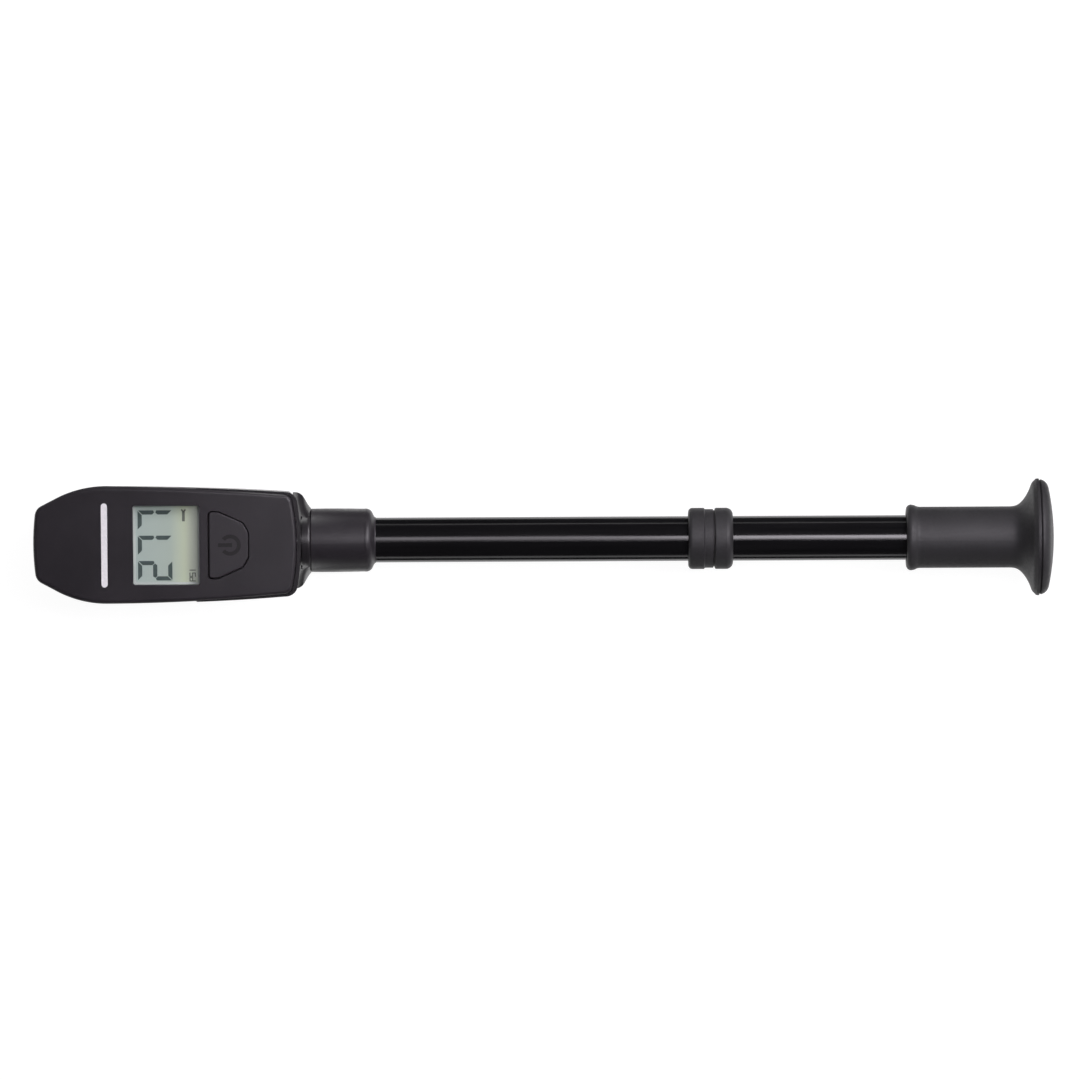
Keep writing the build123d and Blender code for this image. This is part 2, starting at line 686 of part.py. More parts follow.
NODES = {
    "front_cover": front_cover,
    "rear_housing": rear_housing,
    "housing_gasket": lambda: gasket_ring(SPLIT_Z, SPLIT_Z + 0.38),
    "housing_screws": housing_screws,
    "display_window": display_window,
    "lcd_frame": lcd_frame,
    "lcd_panel": lcd_panel,
    "zebra_strips": zebra_strips,
    "circuit_board": circuit_board,
    "board_components": board_components,
    "button_switch": button_switch,
    "power_button": power_button,
    "pressure_sensor": pressure_sensor,
    "sensor_seal": lambda: o_ring_x(2.62, 0.42, 63.8),
    "battery": battery,
    "battery_contacts": battery_contacts,
    "battery_cap": battery_cap,
    "battery_cap_seal": battery_cap_seal,
    "valve_block": valve_block,
    "check_seat": check_seat,
    "check_poppet": check_poppet,
    "check_spring": check_spring,
    "bleed_button": bleed_button,
    "bleed_seal": bleed_seal,
    "bleed_spring": bleed_spring,
    "hose_port_insert": hose_port_insert,
    "neck_sleeve": neck_sleeve,
    "barrel_tube": barrel_tube,
    "barrel_seal": barrel_seal,
    "hose_clip": hose_clip,
    "rod_guide": rod_guide,
    "rod_wiper": rod_wiper,
    "piston_rod": piston_rod,
    "piston_head": piston_head,
    "piston_seal": piston_seal,
    "piston_guide_ring": piston_guide_ring,
    "handle_core": handle_core,
    "handle_grip": handle_grip,
    "handle_bumper": handle_bumper,
    "handle_screw": handle_screw,
    "palm_cap": palm_cap,
}

for node, build in NODES.items():
    made = build()
    write(node, *(made if isinstance(made, list) else [made]))
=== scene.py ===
"""Looks for the digital shock pump: materials, display, markings, port thread, floor, lights and camera.

Lengths are in metres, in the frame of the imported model: +X runs from the gauge head to the handle and
+Z out of the display. Places come from the boxes of the CAD nodes.
"""

import math

import bmesh
import bpy
from mathutils import Matrix, Vector


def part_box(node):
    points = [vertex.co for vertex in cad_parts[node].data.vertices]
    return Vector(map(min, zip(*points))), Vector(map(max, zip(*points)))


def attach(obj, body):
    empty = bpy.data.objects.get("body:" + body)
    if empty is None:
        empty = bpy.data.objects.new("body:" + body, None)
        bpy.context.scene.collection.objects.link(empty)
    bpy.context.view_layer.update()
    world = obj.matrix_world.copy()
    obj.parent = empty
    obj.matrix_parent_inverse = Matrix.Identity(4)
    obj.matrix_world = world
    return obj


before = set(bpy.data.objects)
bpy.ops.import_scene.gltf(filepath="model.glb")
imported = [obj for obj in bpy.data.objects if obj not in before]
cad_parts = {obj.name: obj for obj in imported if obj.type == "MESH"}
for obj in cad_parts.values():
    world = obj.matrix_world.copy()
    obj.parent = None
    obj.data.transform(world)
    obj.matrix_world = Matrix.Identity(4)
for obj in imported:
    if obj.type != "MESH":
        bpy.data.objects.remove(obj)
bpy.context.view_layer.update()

MM = 0.001

# Display
DIGITS = "277"
DIGIT_PITCH = 7.17 * MM
DIGIT_HEIGHT = 8.5 * MM  # between the middles of the top and bottom strokes
DIGIT_WIDTH = 4.35 * MM
DIGIT_TOP_INSET = 2.08 * MM
FIRST_DIGIT_INSET = 1.77 * MM
STROKE = 1.18 * MM
STROKE_GAP = 0.3 * MM
INK_LIFT = 0.02 * MM
INK_THICKNESS = 0.03 * MM
UNIT_INSET_X = 3.1 * MM
UNIT_INSET_Y = 1.0 * MM
UNIT_HEIGHT = 1.5 * MM
UNIT_WIDTH = 0.95 * MM
UNIT_PITCH = 1.3 * MM
UNIT_STROKE = 0.26 * MM
SYMBOL_INSET_X = 4.8 * MM
SYMBOL_INSET_Y = 2.5 * MM
SYMBOL_STEM = 2.2 * MM
SYMBOL_STROKE = 0.8 * MM
SYMBOL_FORK = (0.45 * MM, 0.6 * MM)  # how far each tip stands out, and up
SYMBOL_FORK_STROKE = 0.45 * MM
SEGMENTS_LIT = {"2": "abged", "7": "abc"}  # the strokes of each digit, lettered as is usual
UNIT_LETTERS = (  # strokes of each letter, from (down, right) to (down, right) in parts of its size
    (((1.0, 0.0), (0.0, 0.0)), ((0.0, 0.0), (0.0, 1.0)), ((0.0, 1.0), (0.5, 1.0)), ((0.5, 0.0), (0.5, 1.0))),
    (
        ((0.0, 0.0), (0.0, 1.0)),
        ((0.0, 0.0), (0.5, 0.0)),
        ((0.5, 0.0), (0.5, 1.0)),
        ((0.5, 1.0), (1.0, 1.0)),
        ((1.0, 0.0), (1.0, 1.0)),
    ),
    (((0.0, 0.5), (1.0, 0.5)),),
)
# Painted glow: emission that brightens the reflective display, which makes no light of its own
LCD_PAINTED_GLOW = 0.12
# Painted shade: from 0.9 to 1.0 the colour darkens where the bezel's edge shades the display's right end
LCD_TINTS_AND_SHADE = (  # place along the display from 0 to 1, colour
    (0.0, (0.43, 0.49, 0.48)),
    (0.55, (0.43, 0.485, 0.45)),
    (0.76, (0.56, 0.6, 0.47)),
    (0.9, (0.58, 0.6, 0.54)),
    (1.0, (0.5, 0.51, 0.47)),
)

# Face of the cover
FACE_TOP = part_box("front_cover")[1].z
WINDOW_LOW, WINDOW_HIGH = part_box("display_window")
CREST_PAST_WINDOW = 7.4 * MM  # from the middle of the window to the crest of the bowed face
CREST_X = (WINDOW_LOW.x + WINDOW_HIGH.x) / 2 + CREST_PAST_WINDOW
BOW_RADIUS = 420.0 * MM
BUTTON_DROP = 0.15 * MM  # the button's face lies this far under the cover's

# Markings on the cover and the button
MARK_LIFT = 0.015 * MM
MARK_THICKNESS = 0.03 * MM
MARK_INSET = 20.1 * MM  # from the tip of the cover
MARK_LENGTH = 23.8 * MM
MARK_WIDTH = 1.75 * MM
ARC_STEPS = 12
ICON_INSET = 6.8 * MM  # from the straight side of the button
ICON_RADIUS = 3.0 * MM
ICON_STROKE = 1.1 * MM
ICON_OPENING_DEG = 80.0
ICON_BAR_OUT = 2.9 * MM
ICON_STEPS = 40

# Thread in the hose port
THREAD_PITCH = 0.75 * MM
THREAD_RADIUS = 2.6 * MM
THREAD_DEPTH = 0.2 * MM
THREAD_END = 0.8 * MM  # plain stretch at each end of the bore
THREAD_STEPS = 32  # points in each turn
THREAD_ROUNDNESS = 2

# Surface textures
COLOUR_NOISE = (0.35, 0.65)  # the part of the noise's range over which a colour changes
ROUGHNESS_NOISE = (0.3, 0.7)
FINE_DETAIL = 2.0
EVEN = (1.0, 1.0, 1.0)
DRAWN_ALONG = (0.03, 1.0, 1.0)  # stretches of the noise: lines along the pump
DYED_ALONG = (0.05, 1.0, 1.0)
TURNED_ROUND = (1.0, 0.05, 0.05)  # rings round the pump's long axis
TURNED_FINE = (1.0, 0.02, 0.02)
WINDOW_TINT = (0.96, 0.975, 0.96)
WINDOW_ROUGHNESS = 0.04
WINDOW_IOR = 1.45
BOARD_COLOURS = {"Color1": (0.018, 0.12, 0.045), "Color2": (0.02, 0.135, 0.052), "Mortar": (0.05, 0.2, 0.08)}
TRACK_SCALE = 260.0
TRACK_WIDTH = 0.03
WHITE = (1.0, 1.0, 1.0)

# Camera
CAMERA_DISTANCE = 2.6
CAMERA_TILT_DEG = 6.5
CAMERA_ROLL_DEG = 0.28
CAMERA_TARGET = (-1.115 * MM, -0.226 * MM, 16.5 * MM)
VIEW_WIDTH = 304.8 * MM  # at the camera's target
SENSOR = 36.0

# Floor and light
FLOOR_REACH = 4.0
FLOOR_GAP = 0.02 * MM
FLOOR_GREY = (0.12, 0.12, 0.12)
FLOOR_GLOW = 0.96
CARD_BLACK = (0.004, 0.004, 0.004)
WORLD_DIM = (0.035, 0.033, 0.036)
CARDS = (  # name, x range, section as (y, z) points, glow
    ("flag_back", (-0.25, 0.25), ((0.024, 0.0), (0.045, 0.0), (0.045, 0.0165)), 0.0),
    ("flag_front", (-0.25, 0.25), ((-0.035, 0.0), (-0.045, 0.0), (-0.045, 0.011)), 0.0),
    ("glow_back", (-0.082, -0.066), ((0.035, 0.014), (0.035, 0.03)), 4.5),
    ("glow_front", (-0.082, -0.066), ((-0.034, 0.01), (-0.034, 0.022)), 4.5),
    ("glow_under_back", (-0.058, -0.05), ((0.012, 0.0005), (0.024, 0.0005)), 1.6),
    ("glow_under_front", (-0.058, -0.05), ((-0.012, 0.0005), (-0.034, 0.0005)), 1.6),
)
LIGHT_COLOUR = (1.0, 0.95, 1.02)
LIGHTS = (  # name, centre, aim, (length along the pump, width), power, seen in reflections
    ("strip_near_head", (-0.04, 0.14, 0.6), (-0.04, 0.0, 0.02), (0.18, 0.13), 0.27, True),
    ("strip_near_handle", (0.475, 0.135, 0.6), (0.475, 0.0, 0.02), (0.85, 0.13), 3.4, True),
    ("key", (0.75, 0.75, 0.9), (0.0, 0.0, 0.0), (0.6, 0.6), 9.0, True),
    ("fill", (0.0, 0.95, 1.35), (0.0, 0.0, 0.0), (1.4, 1.2), 9.0, False),
)


# ---- Materials --------------------------------------------------------------------------------
def new_material(name, colour, roughness, metallic=0.0):
    """A Principled material and its shader, to which the helpers below add nodes."""
    material = bpy.data.materials.new(name)
    material.use_nodes = True
    shader = material.node_tree.nodes["Principled BSDF"]
    shader.inputs["Base Color"].default_value = (*colour, 1.0)
    shader.inputs["Roughness"].default_value = roughness
    shader.inputs["Metallic"].default_value = metallic
    return material, shader


def glow(shader, strength):
    """White light of the surface's own."""
    shader.inputs["Emission Color"].default_value = (*WHITE, 1.0)
    shader.inputs["Emission Strength"].default_value = strength


def mix_shaders(tree, output, factor, first, second):
    """The surface or the world shows the first shader where the factor is 0 and the second where it is 1."""
    mix = tree.nodes.new("ShaderNodeMixShader")
    tree.links.new(factor, mix.inputs["Fac"])
    tree.links.new(first, mix.inputs[1])
    tree.links.new(second, mix.inputs[2])
    tree.links.new(mix.outputs["Shader"], tree.nodes[output].inputs["Surface"])


def object_noise(material, scale, detail=4.0, stretch=EVEN):
    """Noise in the object's own coordinates; scale is in cycles per metre."""
    tree = material.node_tree
    where = tree.nodes.new("ShaderNodeTexCoord")
    mapping = tree.nodes.new("ShaderNodeMapping")
    mapping.inputs["Scale"].default_value = stretch
    noise = tree.nodes.new("ShaderNodeTexNoise")
    noise.inputs["Scale"].default_value = scale
    noise.inputs["Detail"].default_value = detail
    tree.links.new(where.outputs["Object"], mapping.inputs["Vector"])
    tree.links.new(mapping.outputs["Vector"], noise.inputs["Vector"])
    return noise


def vary_colour(material, shader, low, high, scale, stretch=EVEN):
    """Colour that wanders between low and high over the surface."""
    tree = material.node_tree
    ramp = tree.nodes.new("ShaderNodeValToRGB")
    for element, position, colour in zip(ramp.color_ramp.elements, COLOUR_NOISE, (low, high)):
        element.position = position
        element.color = (*colour, 1.0)
    noise = object_noise(material, scale, stretch=stretch)
    tree.links.new(noise.outputs["Fac"], ramp.inputs["Fac"])
    tree.links.new(ramp.outputs["Color"], shader.inputs["Base Color"])


def vary_roughness(material, shader, low, high, scale, stretch=EVEN):
    """Roughness that wanders between low and high over the surface."""
    tree = material.node_tree
    spread = tree.nodes.new("ShaderNodeMapRange")
    spread.inputs["From Min"].default_value, spread.inputs["From Max"].default_value = ROUGHNESS_NOISE
    spread.inputs["To Min"].default_value = low
    spread.inputs["To Max"].default_value = high
    noise = object_noise(material, scale, stretch=stretch)
    tree.links.new(noise.outputs["Fac"], spread.inputs["Value"])
    tree.links.new(spread.outputs["Result"], shader.inputs["Roughness"])


def grain(material, shader, scale, strength, depth, stretch=EVEN):
    """A fine surface texture, depth in metres."""
    tree = material.node_tree
    bump = tree.nodes.new("ShaderNodeBump")
    bump.inputs["Strength"].default_value = strength
    bump.inputs["Distance"].default_value = depth
    noise = object_noise(material, scale, detail=FINE_DETAIL, stretch=stretch)
    tree.links.new(noise.outputs["Fac"], bump.inputs["Height"])
    tree.links.new(bump.outputs["Normal"], shader.inputs["Normal"])


def satin_black_plastic():
    """Moulded casing plastic with a very fine spark-eroded texture."""
    material, shader = new_material("satin_black_plastic", (0.0195, 0.0172, 0.0205), 0.42)
    vary_colour(material, shader, (0.017, 0.015, 0.018), (0.022, 0.0195, 0.023), scale=60)
    vary_roughness(material, shader, 0.38, 0.47, scale=900)
    grain(material, shader, scale=5200, strength=0.25, depth=0.03 * MM)
    return material


def gloss_black_plastic():
    """Polished plastic, a little uneven in its gloss."""
    material, shader = new_material("gloss_black_plastic", (0.015, 0.0138, 0.0155), 0.3)
    vary_roughness(material, shader, 0.27, 0.34, scale=220)
    vary_colour(material, shader, (0.0135, 0.0124, 0.014), (0.0165, 0.0152, 0.017), scale=40)
    return material


def black_rubber():
    """Soft grip rubber with a fine matt grain."""
    material, shader = new_material("black_rubber", (0.02, 0.0195, 0.021), 0.55)
    vary_colour(material, shader, (0.018, 0.0175, 0.019), (0.0225, 0.022, 0.0235), scale=90)
    vary_roughness(material, shader, 0.5, 0.62, scale=1200)
    grain(material, shader, scale=4200, strength=0.3, depth=0.04 * MM)
    return material


def button_rubber():
    material, shader = new_material("button_rubber", (0.024, 0.0215, 0.025), 0.5)
    vary_roughness(material, shader, 0.46, 0.56, scale=1500)
    grain(material, shader, scale=6500, strength=0.2, depth=0.02 * MM)
    return material


def seal_rubber():
    material, shader = new_material("seal_rubber", (0.012, 0.012, 0.012), 0.45)
    vary_roughness(material, shader, 0.38, 0.52, scale=1600)
    return material


def black_anodised():
    """Drawn and polished tube, dyed black: faint lines along the tube under a clear oxide film."""
    material, shader = new_material("black_anodised", (0.004, 0.004, 0.0045), 0.16)
    vary_roughness(material, shader, 0.13, 0.2, scale=900, stretch=DRAWN_ALONG)
    low, high = (0.0035, 0.0035, 0.004), (0.0055, 0.0055, 0.006)
    vary_colour(material, shader, low, high, scale=500, stretch=DYED_ALONG)
    return material


def turned_metal(name, colour, roughness):
    """Metal with the fine rings that a lathe leaves round the pump's long axis."""
    material, shader = new_material(name, colour, roughness, metallic=1.0)
    smooth, rough = roughness * 0.8, roughness * 1.25
    vary_roughness(material, shader, smooth, rough, scale=2500, stretch=TURNED_ROUND)
    grain(material, shader, scale=6000, strength=0.2, depth=0.01 * MM, stretch=TURNED_FINE)
    return material


def clear_window():
    """Thin acrylic: what lies under it is seen unbent, and its outer faces mirror a little."""
    material = bpy.data.materials.new("clear_window")
    material.use_nodes = True
    tree = material.node_tree
    tree.nodes.remove(tree.nodes["Principled BSDF"])
    clear = tree.nodes.new("ShaderNodeBsdfTransparent")
    clear.inputs["Color"].default_value = (*WINDOW_TINT, 1.0)
    mirror = tree.nodes.new("ShaderNodeBsdfGlossy")
    mirror.inputs["Roughness"].default_value = WINDOW_ROUGHNESS
    fresnel = tree.nodes.new("ShaderNodeFresnel")
    fresnel.inputs["IOR"].default_value = WINDOW_IOR
    facing = tree.nodes.new("ShaderNodeNewGeometry")
    outer_only = tree.nodes.new("ShaderNodeMath")
    outer_only.operation = "SUBTRACT"
    outer_only.use_clamp = True
    tree.links.new(fresnel.outputs["Fac"], outer_only.inputs[0])
    tree.links.new(facing.outputs["Backfacing"], outer_only.inputs[1])
    share = outer_only.outputs["Value"]
    mix_shaders(tree, "Material Output", share, clear.outputs["BSDF"], mirror.outputs["BSDF"])
    return material


def lcd_glass():
    """Reflective display with a painted glow that brightens it: grey green, yellower and then painted shade
    towards the right.
    """
    material, shader = new_material("lcd_glass", LCD_TINTS_AND_SHADE[0][1], 0.35)
    tree = material.node_tree
    low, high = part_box("lcd_panel")
    where = tree.nodes.new("ShaderNodeTexCoord")
    split = tree.nodes.new("ShaderNodeSeparateXYZ")
    along = tree.nodes.new("ShaderNodeMapRange")
    along.inputs["From Min"].default_value = low.x
    along.inputs["From Max"].default_value = high.x
    ramp = tree.nodes.new("ShaderNodeValToRGB")
    # The ramp carries the display's colours and the painted shade at its right end
    for index, (position, tone_and_shade) in enumerate(LCD_TINTS_AND_SHADE):
        if index < len(ramp.color_ramp.elements):
            element = ramp.color_ramp.elements[index]
            element.position = position
        else:
            element = ramp.color_ramp.elements.new(position)
        element.color = (*tone_and_shade, 1.0)
    tree.links.new(where.outputs["Object"], split.inputs["Vector"])
    tree.links.new(split.outputs["X"], along.inputs["Value"])
    tree.links.new(along.outputs["Result"], ramp.inputs["Fac"])
    tree.links.new(ramp.outputs["Color"], shader.inputs["Base Color"])
    # Painted glow: the display's colours, including the painted shade at its right end, also glow
    tree.links.new(ramp.outputs["Color"], shader.inputs["Emission Color"])
    shader.inputs["Emission Strength"].default_value = LCD_PAINTED_GLOW
    vary_roughness(material, shader, 0.3, 0.4, scale=3000)
    return material


def lcd_ink():
    """The digits' dark strokes."""
    material, shader = new_material("lcd_ink", (0.07, 0.095, 0.095), 0.5)
    vary_colour(material, shader, (0.063, 0.087, 0.087), (0.077, 0.103, 0.103), scale=700)
    return material


def soft_ink():
    """The paler strokes of the unit and the symbol."""
    material, shader = new_material("soft_ink", (0.17, 0.18, 0.16), 0.5)
    vary_colour(material, shader, (0.155, 0.165, 0.145), (0.185, 0.195, 0.175), scale=900)
    return material


def white_print():
    material, shader = new_material("white_print", (0.86, 0.86, 0.86), 0.4)
    vary_colour(material, shader, (0.82, 0.82, 0.82), (0.9, 0.9, 0.9), scale=1500)
    return material


def dark_print():
    material, shader = new_material("dark_print", (0.008, 0.0072, 0.008), 0.6)
    vary_colour(material, shader, (0.007, 0.0062, 0.007), (0.009, 0.0082, 0.009), scale=1500)
    return material


def moulded(name, colour, roughness):
    """Plain moulded plastic, slightly uneven in colour and gloss."""
    material, shader = new_material(name, colour, roughness)
    dim = tuple(channel * 0.92 for channel in colour)
    bright = tuple(min(channel * 1.06, 1.0) for channel in colour)
    vary_colour(material, shader, dim, bright, scale=150)
    vary_roughness(material, shader, roughness * 0.9, roughness * 1.1, scale=1200)
    return material


def board_green():
    """Solder mask with the copper tracks showing faintly through it."""
    material, shader = new_material("board_green", (0.02, 0.13, 0.05), 0.3)
    tree = material.node_tree
    where = tree.nodes.new("ShaderNodeTexCoord")
    tracks = tree.nodes.new("ShaderNodeTexBrick")
    for name, colour in BOARD_COLOURS.items():
        tracks.inputs[name].default_value = (*colour, 1.0)
    tracks.inputs["Scale"].default_value = TRACK_SCALE
    tracks.inputs["Mortar Size"].default_value = TRACK_WIDTH
    tree.links.new(where.outputs["Object"], tracks.inputs["Vector"])
    tree.links.new(tracks.outputs["Color"], shader.inputs["Base Color"])
    return material


MATERIALS = {
    "satin_black_plastic": satin_black_plastic(),
    "gloss_black_plastic": gloss_black_plastic(),
    "black_rubber": black_rubber(),
    "button_rubber": button_rubber(),
    "seal_rubber": seal_rubber(),
    "black_anodised": black_anodised(),
    "clear_window": clear_window(),
    "lcd_glass": lcd_glass(),
    "grey_plastic": moulded("grey_plastic", (0.62, 0.65, 0.64), 0.5),
    "component_black": moulded("component_black", (0.02, 0.02, 0.022), 0.5),
    "white_acetal": moulded("white_acetal", (0.75, 0.75, 0.71), 0.4),
    "board_green": board_green(),
    "stainless": turned_metal("stainless", (0.55, 0.55, 0.56), 0.28),
    "spring_steel": turned_metal("spring_steel", (0.45, 0.45, 0.46), 0.3),
    "brass": turned_metal("brass", (0.66, 0.46, 0.19), 0.25),
    "bare_aluminium": turned_metal("bare_aluminium", (0.72, 0.73, 0.74), 0.3),
    "chromed_rod": turned_metal("chromed_rod", (0.72, 0.72, 0.74), 0.07),
}


def finish_cad_nodes():
    """Each CAD node arrives with a plain material named after its slot; the detailed one takes its place."""
    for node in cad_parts.values():
        for index, plain in enumerate(node.data.materials):
            node.data.materials[index] = MATERIALS[plain.name]


# ---- Small pieces -----------------------------------------------------------------------------
def new_piece(name, shape, material, body):
    """A mesh or a curve as a piece that rides on a body."""
    shape.materials.append(material)
    piece = bpy.data.objects.new(name, shape)
    bpy.context.scene.collection.objects.link(piece)
    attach(piece, body)


def thin_plates(name, outlines, height_at, thickness):
    """One mesh of thin flat pieces: each outline is a closed list of (x, y), lying at height_at(x)."""
    shape = bmesh.new()
    for outline in outlines:
        lower = [shape.verts.new((x, y, height_at(x))) for x, y in outline]
        upper = [shape.verts.new((x, y, height_at(x) + thickness)) for x, y in outline]
        shape.faces.new(upper)
        shape.faces.new(list(reversed(lower)))
        for here, (a, b) in enumerate(zip(lower, lower[1:] + lower[:1])):
            shape.faces.new((a, b, upper[(here + 1) % len(upper)], upper[here]))
    mesh = bpy.data.meshes.new(name)
    bmesh.ops.recalc_face_normals(shape, faces=shape.faces)
    shape.to_mesh(mesh)
    shape.free()
    return mesh


def face_height(x):
    """Height of the cover's face, which is bowed along the pump."""
    return FACE_TOP - (x - CREST_X) ** 2 / (2 * BOW_RADIUS)


# ---- Display ----------------------------------------------------------------------------------
def mirrored(outline, along=False, across=False):
    """The outline turned over about the middle of a digit, along its height or across its width."""
    return [
        (DIGIT_HEIGHT - down if along else down, DIGIT_WIDTH - right if across else right)
        for down, right in outline
    ]


def segment_outlines():
    """The seven strokes of a digit as (down, right) points from the middle of its top left corner."""
    half = STROKE / 2
    gap = STROKE_GAP / 2
    middle = DIGIT_HEIGHT / 2
    top = [
        (-half, gap - half),
        (-half, DIGIT_WIDTH + half - gap),
        (half, DIGIT_WIDTH - half - gap),
        (half, half + gap),
    ]
    upper_right = [
        (gap - half, DIGIT_WIDTH + half),
        (middle - gap - half / 2, DIGIT_WIDTH + half),
        (middle - gap, DIGIT_WIDTH),
        (middle - gap - half, DIGIT_WIDTH - half),
        (half + gap, DIGIT_WIDTH - half),
    ]
    bar = [
        (middle - half, half),
        (middle - half, DIGIT_WIDTH - half),
        (middle, DIGIT_WIDTH - gap),
        (middle + half, DIGIT_WIDTH - half),
        (middle + half, half),
        (middle, gap),
    ]
    return {
        "a": top,
        "b": upper_right,
        "c": mirrored(upper_right, along=True),
        "d": mirrored(top, along=True),
        "e": mirrored(upper_right, along=True, across=True),
        "f": mirrored(upper_right, across=True),
        "g": bar,
    }


def display_digits():
    """Three digits that read across the head, with their tops towards its tip."""
    low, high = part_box("lcd_panel")
    ink_height = high.z + INK_LIFT
    top = low.x + DIGIT_TOP_INSET
    strokes = segment_outlines()
    outlines = []
    for place, digit in enumerate(DIGITS):
        left = low.y + FIRST_DIGIT_INSET + place * DIGIT_PITCH
        for segment in SEGMENTS_LIT[digit]:
            outlines.append([(top + down, left + right) for down, right in strokes[segment]])
    mesh = thin_plates("lcd_digits", outlines, lambda x: ink_height, INK_THICKNESS)
    new_piece("lcd_digits", mesh, lcd_ink(), "pump")


def stroke_outline(start, end, width):
    """A straight stroke with square ends, which reach half its width past the two points."""
    start = Vector(start)
    end = Vector(end)
    along = (end - start).normalized() * width / 2
    side = Vector((-along.y, along.x))
    corners = (start - along - side, end + along - side, end + along + side, start - along + side)
    return [tuple(corner) for corner in corners]


def unit_outlines(low, high):
    """The unit, written as plain strokes."""
    top = high.x - UNIT_INSET_X
    outlines = []
    for place, strokes in enumerate(UNIT_LETTERS):
        left = low.y + UNIT_INSET_Y + place * UNIT_PITCH
        for stroke in strokes:
            ends = [(top + down * UNIT_HEIGHT, left + right * UNIT_WIDTH) for down, right in stroke]
            outlines.append(stroke_outline(*ends, UNIT_STROKE))
    return outlines


def symbol_outlines(high):
    """A stem across the head with a forked end."""
    top = Vector((high.x - SYMBOL_INSET_X, high.y - SYMBOL_INSET_Y))
    outlines = [stroke_outline(top, top - Vector((0.0, SYMBOL_STEM)), SYMBOL_STROKE)]
    fork_out, fork_up = SYMBOL_FORK
    for side in (-1, 1):
        outlines.append(stroke_outline(top, top + Vector((side * fork_out, fork_up)), SYMBOL_FORK_STROKE))
    return outlines


def display_symbols():
    """The unit and a small forked symbol, both read as the digits are."""
    low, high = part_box("lcd_panel")
    ink_height = high.z + INK_LIFT
    outlines = unit_outlines(low, high) + symbol_outlines(high)
    mesh = thin_plates("lcd_symbols", outlines, lambda x: ink_height, INK_THICKNESS)
    new_piece("lcd_symbols", mesh, soft_ink(), "pump")


# ---- Markings ---------------------------------------------------------------------------------
def rounded_bar(centre, length, width):
    """A bar across the head with half-round ends."""
    radius = width / 2
    reach = length / 2 - radius
    outline = []
    for side in (1, -1):
        for step in range(ARC_STEPS + 1):
            turn = math.pi * step / ARC_STEPS
            outline.append((
                centre[0] + side * radius * math.cos(turn),
                centre[1] + side * (reach + radius * math.sin(turn)),
            ))
    return outline


def power_icon_outlines(centre):
    """A broken ring, open towards the display, and the bar that stands in its opening."""
    opening = math.radians(ICON_OPENING_DEG)
    sweep = 2 * math.pi - opening
    outer = ICON_RADIUS
    inner = ICON_RADIUS - ICON_STROKE
    outlines = []
    for step in range(ICON_STEPS):
        turns = [math.pi + opening / 2 + sweep * (step + more) / ICON_STEPS for more in (0, 1)]
        corners = [(outer, turns[0]), (outer, turns[1]), (inner, turns[1]), (inner, turns[0])]
        outlines.append([
            (centre[0] + reach * math.cos(turn), centre[1] + reach * math.sin(turn))
            for reach, turn in corners
        ])
    bar_end = (centre[0] - ICON_BAR_OUT, centre[1])
    outlines.append(stroke_outline(centre, bar_end, ICON_STROKE))
    return outlines


def cover_marking():
    """A plain bar printed across the cover."""
    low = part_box("front_cover")[0]
    outline = rounded_bar((low.x + MARK_INSET, 0.0), MARK_LENGTH, MARK_WIDTH)
    mesh = thin_plates("cover_marking", [outline], lambda x: face_height(x) + MARK_LIFT, MARK_THICKNESS)
    new_piece("cover_marking", mesh, white_print(), "pump")


def power_icon():
    """The power symbol printed on the button."""
    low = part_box("power_button")[0]
    outlines = power_icon_outlines((low.x + ICON_INSET, 0.0))
    lift = MARK_LIFT - BUTTON_DROP
    mesh = thin_plates("power_icon", outlines, lambda x: face_height(x) + lift, MARK_THICKNESS)
    new_piece("power_icon", mesh, dark_print(), "power_button")


# ---- Hose port --------------------------------------------------------------------------------
def port_thread():
    """The ridge of the female thread, a helix along the port's bore."""
    low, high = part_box("hose_port_insert")
    axis_z = (low.z + high.z) / 2
    curve = bpy.data.curves.new("port_thread", "CURVE")
    curve.dimensions = "3D"
    curve.bevel_depth = THREAD_DEPTH
    curve.bevel_resolution = THREAD_ROUNDNESS
    ridge = curve.splines.new("POLY")
    turns = (high.x - low.x - 2 * THREAD_END) / THREAD_PITCH
    count = int(turns * THREAD_STEPS)
    ridge.points.add(count)
    for step in range(count + 1):
        turn = 2 * math.pi * step / THREAD_STEPS
        ridge.points[step].co = (
            low.x + THREAD_END + THREAD_PITCH * step / THREAD_STEPS,
            THREAD_RADIUS * math.cos(turn),
            axis_z + THREAD_RADIUS * math.sin(turn),
            1.0,
        )
    new_piece("port_thread", curve, MATERIALS["brass"], "pump")


# ---- Floor, lights and camera -----------------------------------------------------------------
def make_floor():
    """A large white light table, on which shadows stay pale. From below it is seen through."""
    mesh = bpy.data.meshes.new("floor")
    corners = [(x * FLOOR_REACH, y * FLOOR_REACH, 0.0) for x, y in ((-1, -1), (1, -1), (1, 1), (-1, 1))]
    mesh.from_pydata(corners, [], [(0, 1, 2, 3)])
    material, shader = new_material("floor_white", FLOOR_GREY, 0.7)
    glow(shader, FLOOR_GLOW)
    vary_roughness(material, shader, 0.65, 0.75, scale=30)
    tree = material.node_tree
    facing = tree.nodes.new("ShaderNodeNewGeometry")
    clear = tree.nodes.new("ShaderNodeBsdfTransparent")
    below = facing.outputs["Backfacing"]
    mix_shaders(tree, "Material Output", below, shader.outputs["BSDF"], clear.outputs["BSDF"])
    mesh.materials.append(material)
    floor = bpy.data.objects.new("floor", mesh)
    floor.location.z = -FLOOR_GAP
    bpy.context.scene.collection.objects.link(floor)


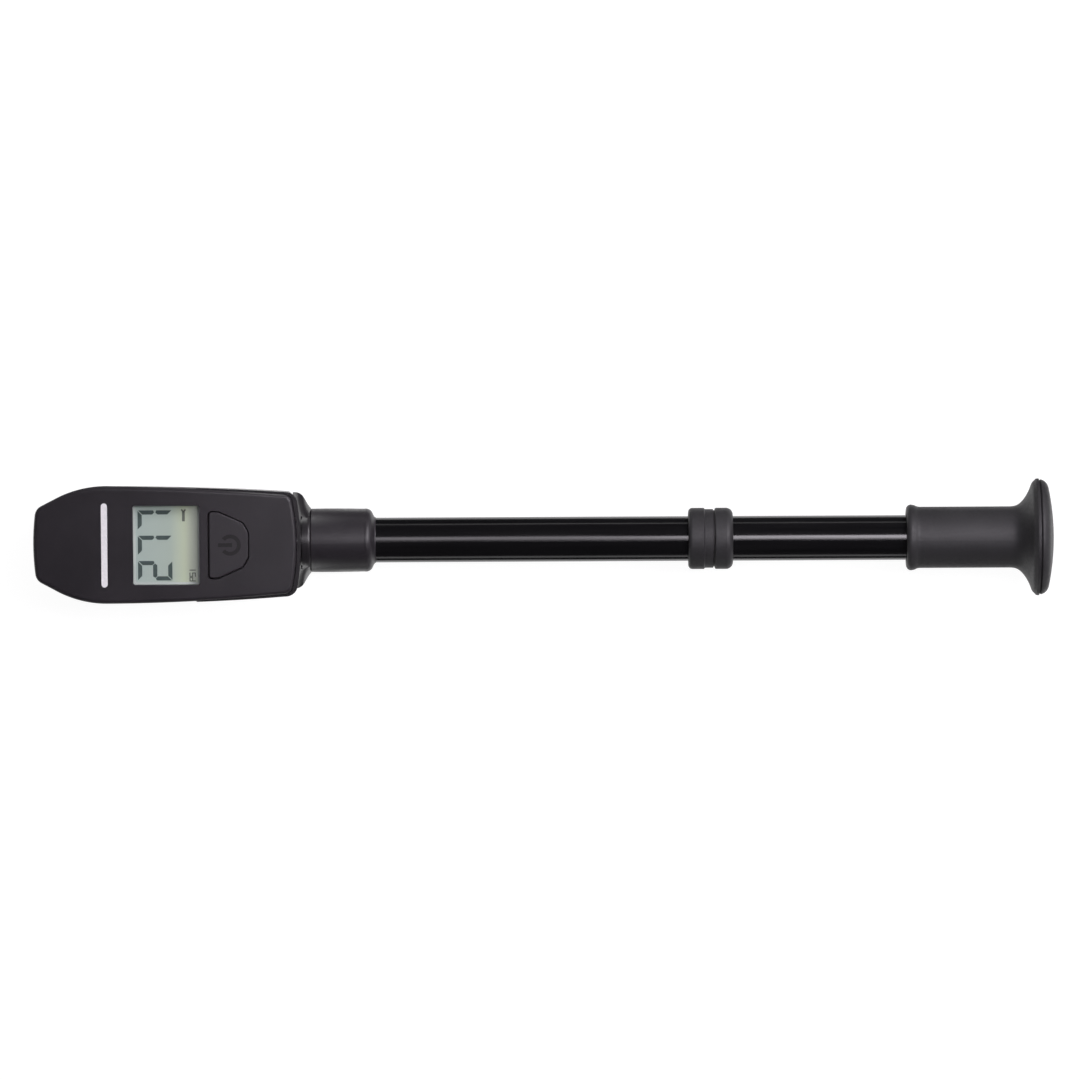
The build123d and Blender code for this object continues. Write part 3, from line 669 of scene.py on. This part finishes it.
def make_cards():
    """Cards seen only in reflections: black ones keep the glossy flanks dark, bright ones light the flare."""
    for name, (x_low, x_high), section, strength in CARDS:
        material, shader = new_material(name, CARD_BLACK, 0.9)
        glow(shader, strength)
        vary_roughness(material, shader, 0.85, 0.95, scale=30)
        mesh = bpy.data.meshes.new(name)
        points = [(x, y, z) for y, z in section for x in (x_low, x_high)]
        faces = [(first, first + 1, first + 3, first + 2) for first in range(0, len(points) - 2, 2)]
        mesh.from_pydata(points, [], faces)
        mesh.materials.append(material)
        card = bpy.data.objects.new(name, mesh)
        card.visible_camera = False
        card.visible_diffuse = False
        card.visible_shadow = False
        bpy.context.scene.collection.objects.link(card)


def make_world():
    """Dim all round, so that black plastic stays black, and white where the camera looks past the floor."""
    world = bpy.data.worlds.new("studio")
    bpy.context.scene.world = world
    world.use_nodes = True
    tree = world.node_tree
    dim = tree.nodes["Background"]
    dim.inputs["Color"].default_value = (*WORLD_DIM, 1.0)
    white = tree.nodes.new("ShaderNodeBackground")
    white.inputs["Color"].default_value = (*WHITE, 1.0)
    seen = tree.nodes.new("ShaderNodeLightPath").outputs["Is Camera Ray"]
    mix_shaders(tree, "World Output", seen, dim.outputs["Background"], white.outputs["Background"])


def frame_matrix(x_axis, y_axis, z_axis, origin):
    """The placing of an object whose own axes point along the three given ones."""
    rotation = Matrix((x_axis, y_axis, z_axis)).transposed().to_4x4()
    return Matrix.Translation(origin) @ rotation


def area_light(name, centre, aim, size, power, glossy):
    """A rectangular light whose long side lies along the pump."""
    light = bpy.data.lights.new(name, "AREA")
    light.shape = "RECTANGLE"
    light.size, light.size_y = size
    light.energy = power
    light.color = LIGHT_COLOUR
    back = (Vector(centre) - Vector(aim)).normalized()
    side = back.cross(Vector((1.0, 0.0, 0.0))).normalized()
    lamp = bpy.data.objects.new(name, light)
    lamp.matrix_world = frame_matrix(side.cross(back), side, back, centre)
    lamp.visible_camera = False
    lamp.visible_glossy = glossy
    bpy.context.scene.collection.objects.link(lamp)


def make_lights():
    for settings in LIGHTS:
        area_light(*settings)


def make_camera():
    """A long lens nearly straight above the display, leaning towards +Y and turned very slightly."""
    tilt = math.radians(CAMERA_TILT_DEG)
    roll = math.radians(CAMERA_ROLL_DEG)
    back = Vector((0.0, math.sin(tilt), math.cos(tilt)))
    level = Vector((1.0, 0.0, 0.0))
    rise = back.cross(level)
    right = level * math.cos(roll) - rise * math.sin(roll)
    up = level * math.sin(roll) + rise * math.cos(roll)
    lens = bpy.data.cameras.new("camera")
    lens.sensor_width = SENSOR
    lens.lens = SENSOR * CAMERA_DISTANCE / VIEW_WIDTH
    camera = bpy.data.objects.new("camera", lens)
    camera.matrix_world = frame_matrix(right, up, back, Vector(CAMERA_TARGET) + back * CAMERA_DISTANCE)
    bpy.context.scene.collection.objects.link(camera)
    bpy.context.scene.camera = camera


# ---- Scene ------------------------------------------------------------------------------------
finish_cad_nodes()
display_digits()
display_symbols()
cover_marking()
power_icon()
port_thread()
make_floor()
make_cards()
make_world()
make_lights()
make_camera()
bpy.context.scene.view_settings.view_transform = "Standard"
